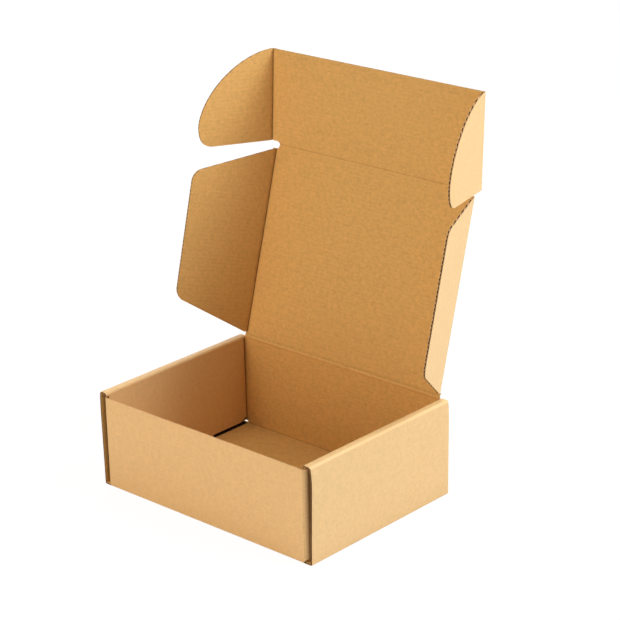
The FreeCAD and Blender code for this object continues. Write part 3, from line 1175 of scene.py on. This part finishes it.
class MAILER_OT_ears(bpy.types.Operator):
    """Builds the front flap's two rounded ears"""
    bl_idname = "mailer.ears"
    bl_label = "Ears"

    curve_steps = 26
    corner_steps = 12
    past = 0.01 * MM

    def execute(self, context):
        scene = context.scene
        board, lid = scene.mailer_board, scene.mailer_lid
        parent = front_frame()
        local = parent.inverted()
        t = board.thickness
        for name, side in SIDES:
            point, _, limits = joint("ear_fold_" + name)
            angle = math.radians(-limits[0])
            root = parent @ Vector(((local @ point).x, 0, 0))
            matrix = folded_frame(parent, root, side, angle)
            outline = [(out, side * along) for along, out in self.outline(board, lid)]
            cutter = outline_prism(outline, matrix, -t - TRIM_REACH, TRIM_REACH)
            ends = sorted((side * (lid.front_start - self.past), side * (lid.front_length + self.past)))
            course = straight_course(board.crease_half, lid.ear_reach + 1 * MM, 9)
            layers = board_layers("ear", board, course, *ends, flat_locate(matrix, t),
                                  [(cutter, "INTERSECT")])
            remove([cutter])
            finish_piece(join(layers, "ear_board_" + name), "ear_" + name, "lid_ear_" + name)
        return {"FINISHED"}

    def outline(self, board, lid):
        """Points (along, out) of an ear: its curved edge, its round corner and its straight edge."""
        root = board.crease_half
        points = [(lid.front_length - 0.2 * MM, root)]
        for step in range(self.curve_steps + 1):
            turn = step / self.curve_steps * math.pi / 2
            rise = math.cos(turn) ** (2 / lid.ear_power)
            out = lid.ear_reach * math.sin(turn) ** (2 / lid.ear_power)
            if out > root:
                points.append((lid.ear_wide + (lid.front_length - lid.ear_wide) * rise, out))
        corner = Vector((lid.front_start, lid.ear_reach))
        first = Vector((lid.ear_wide, lid.ear_reach))
        last = Vector((lid.front_start, lid.ear_reach - lid.ear_corner))
        for step in range(1, self.corner_steps + 1):
            share = step / self.corner_steps
            spot = first * (1 - share) ** 2 + corner * 2 * share * (1 - share) + last * share ** 2
            points.append(tuple(spot))
        points.append((lid.front_start, root))
        return points


class MAILER_OT_creases(bpy.types.Operator):
    """Builds the creases that swing, each bending between its two panels"""
    bl_idname = "mailer.creases"
    bl_label = "Creases"

    def execute(self, context):
        scene = context.scene
        board, lid, tray = scene.mailer_board, scene.mailer_lid, scene.mailer_tray
        t = board.thickness
        half = board.crease_half
        lid_place, lid_half, length = lid_measures(board)
        lid_away, lid_inward = lid_place.col[1].xyz, lid_place.col[2].xyz
        hinge, _, _ = joint("lid_hinge")
        lean = math.atan2(lid_away.y, lid_away.z)
        self.make("lid_crease", "tray", "lid", board, hinge - Y_AXIS * t / 2, X_AXIS, Z_AXIS, -Y_AXIS,
                  (-lid_half - t, lid_half + t), tray.hinge_crease, -lean, t / 2, lid_dents)
        front_point, _, front_limits = joint("front_flap_fold")
        pegs = slot_pegs(board, lid)
        self.make("front_crease", "lid", "front_flap", board, front_point, X_AXIS, lid_away, lid_inward,
                  (-lid_half, lid_half), half, math.radians(-front_limits[0]), 0, front_dents,
                  [(one, "DIFFERENCE") for one in pegs])
        remove(pegs)
        for (name, side), angle in zip(SIDES, (lid.left_flap_angle, lid.right_flap_angle)):
            origin = lid_place @ Vector((side * lid_half, 0, 0))
            self.make("side_crease_" + name, "lid", "side_flap_" + name, board, origin, lid_away,
                      X_AXIS * side, lid_inward, (tray.hinge_crease, length - lid.flap_stop), half, angle, 0,
                      fold_dents(FLAP_SCORE, 3 + side))
        front_place = front_frame()
        front_local = front_place.inverted()
        for name, side in SIDES:
            point, _, ear_limits = joint("ear_fold_" + name)
            origin = front_place @ Vector(((front_local @ point).x, 0, 0))
            self.make("ear_crease_" + name, "front_flap", "ear_" + name, board, origin,
                      front_place.col[1].xyz, X_AXIS * side, front_place.col[2].xyz,
                      (lid.front_start, lid.front_length), half, math.radians(-ear_limits[0]), 0,
                      fold_dents(FLAP_SCORE, 8 + side))
        return {"FINISHED"}

    @staticmethod
    def make(name, parent, child, *shape):
        """Makes a crease strip, built bent between its two panels, and bakes its place into its mesh."""
        strip, start, end = crease_strip(name, *shape)
        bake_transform(strip)
        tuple(start)
        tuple(end)


def seen_white(tree):
    """One where the camera or a reflection looks, and nothing for other light."""
    path = add_node(tree, "ShaderNodeLightPath", (-600, 300)).outputs
    both = calculate(tree, (-400, 300), "MAXIMUM", path["Is Camera Ray"], path["Is Glossy Ray"])
    return calculate(tree, (-250, 300), "MAXIMUM", both, path["Is Transmission Ray"])


def looking_back(azimuth, elevation):
    """The way from the box to a place around it, from the front to the right and up."""
    flat = math.cos(elevation)
    return Vector((math.sin(azimuth) * flat, -math.cos(azimuth) * flat, math.sin(elevation)))


class MAILER_OT_stage(bpy.types.Operator):
    """Sets the floor, the lights and the camera"""
    bl_idname = "mailer.stage"
    bl_label = "Stage"

    floor_glow = 1.03
    floor_share = 0.93
    floor_drop = 0.05 * MM
    lamp_distance = 2.0
    lamp_aim = (0, 0.03, 0.12)

    def execute(self, context):
        scene = context.scene
        stage = scene.mailer_stage
        self.floor()
        self.sky(scene, stage)
        self.lights(stage)
        self.camera(scene, stage)
        scene.view_settings.view_transform = "Standard"
        return {"FINISHED"}

    def floor(self):
        """A plain pale floor that looks white and keeps the box's shadow."""
        start_clean()
        bpy.ops.mesh.primitive_plane_add(size=12, location=(0, 0, -self.floor_drop))
        floor = bpy.context.active_object
        floor.name = "floor"
        bpy.ops.object.transform_apply(location=True)
        material = bpy.data.materials.new("floor_white")
        material.use_nodes = True
        tree = material.node_tree
        shader = tree.nodes["Principled BSDF"]
        shader.inputs["Base Color"].default_value = (0.9, 0.9, 0.9, 1)
        shader.inputs["Roughness"].default_value = 0.9
        shader.inputs["Specular IOR Level"].default_value = 0.1
        glow = add_node(tree, "ShaderNodeEmission", (0, 200), {"Color": WHITE, "Strength": self.floor_glow})
        share = calculate(tree, (-100, 300), "MULTIPLY", seen_white(tree), self.floor_share)
        mixed = add_node(tree, "ShaderNodeMixShader", (300, 100), {
            "Fac": share, 1: shader.outputs["BSDF"], 2: glow.outputs["Emission"]})
        tree.links.new(mixed.outputs["Shader"], tree.nodes["Material Output"].inputs["Surface"])
        floor.data.materials.append(material)

    @staticmethod
    def sky(scene, stage):
        """Even surroundings, white where the camera sees them."""
        world = scene.world or bpy.data.worlds.new("surroundings")
        scene.world = world
        world.use_nodes = True
        tree = world.node_tree
        tree.nodes.clear()
        seen = add_node(tree, "ShaderNodeBackground", (0, -150), {"Color": WHITE})
        lit = add_node(tree, "ShaderNodeBackground", (0, 0), {"Color": WHITE, "Strength": stage.sky})
        mixed = add_node(tree, "ShaderNodeMixShader", (250, 0), {
            "Fac": seen_white(tree), 1: lit.outputs["Background"], 2: seen.outputs["Background"]})
        add_node(tree, "ShaderNodeOutputWorld", (450, 0), {"Surface": mixed.outputs["Shader"]})

    def lights(self, stage):
        """Soft lamps: two on the right, two at the front, one overhead and one on the left rear."""
        plain = (1.0, 1.0, 1.0)
        for name, azimuth, elevation, size, power, colour in (
            ("key_light", 110, 30, 0.8, stage.key, (0.92, 0.96, 1.0)),
            ("high_key_light", 125, 50, 0.8, stage.high_key, (0.84, 0.92, 1.0)),
            ("fill_light", -10, 40, 0.8, stage.fill, (1.0, 0.93, 0.79)),
            ("low_fill_light", -10, 10, 0.8, stage.low_fill, (1.0, 0.80, 0.62)),
            ("top_light", 0, 90, 1.2, stage.top, plain),
            ("rear_light", -130, 35, 0.8, stage.rear, plain),
        ):
            back = looking_back(math.radians(azimuth), math.radians(elevation))
            start_clean()
            bpy.ops.object.light_add(type="AREA", location=Vector(self.lamp_aim) + self.lamp_distance * back,
                                     rotation=back.to_track_quat("Z", "Y").to_euler())
            lamp = bpy.context.active_object
            lamp.name = name
            lamp.data.size = size
            lamp.data.energy = power
            lamp.data.color = colour

    @staticmethod
    def camera(scene, stage):
        """The photograph's camera."""
        back = looking_back(stage.azimuth, stage.elevation)
        level = back.to_track_quat("Z", "Y").to_matrix()
        turn = level @ Matrix.Rotation(stage.roll, 3, "Z")
        bpy.ops.object.camera_add(location=Vector(stage.target) + back * stage.distance,
                                  rotation=turn.to_euler())
        camera = bpy.context.active_object
        camera.data.sensor_width = 36
        camera.data.lens = stage.lens
        camera.data.clip_end = 30
        scene.camera = camera


class MAILER_PT_panel(bpy.types.Panel):
    """Lists the box's pieces"""
    bl_label = "Mailer Box"
    bl_space_type = "VIEW_3D"
    bl_region_type = "UI"
    bl_category = "Mailer Box"

    def draw(self, context):
        column = self.layout.column()
        for operator in STEPS:
            column.operator(operator.bl_idname)


STEPS = (
    MAILER_OT_papers, MAILER_OT_tray, MAILER_OT_lid, MAILER_OT_side_flaps, MAILER_OT_front_flap,
    MAILER_OT_ears, MAILER_OT_creases, MAILER_OT_stage,
)
SETTINGS = (
    ("mailer_board", BoardSettings), ("mailer_tray", TraySettings), ("mailer_lid", LidSettings),
    ("mailer_paper", PaperSettings), ("mailer_stage", StageSettings),
)


def register():
    for name, group in SETTINGS:
        bpy.utils.register_class(group)
        setattr(bpy.types.Scene, name, PointerProperty(type=group))
    for operator in STEPS:
        bpy.utils.register_class(operator)
    bpy.utils.register_class(MAILER_PT_panel)


def unregister():
    bpy.utils.unregister_class(MAILER_PT_panel)
    for operator in reversed(STEPS):
        bpy.utils.unregister_class(operator)
    for name, group in reversed(SETTINGS):
        delattr(bpy.types.Scene, name)
        bpy.utils.unregister_class(group)


def main():
    register()
    bpy.ops.mailer.papers()
    bpy.ops.mailer.tray()
    bpy.ops.mailer.lid()
    bpy.ops.mailer.side_flaps()
    bpy.ops.mailer.front_flap()
    bpy.ops.mailer.ears()
    bpy.ops.mailer.creases()
    bpy.ops.mailer.stage()


if __name__ == "__main__":
    main()
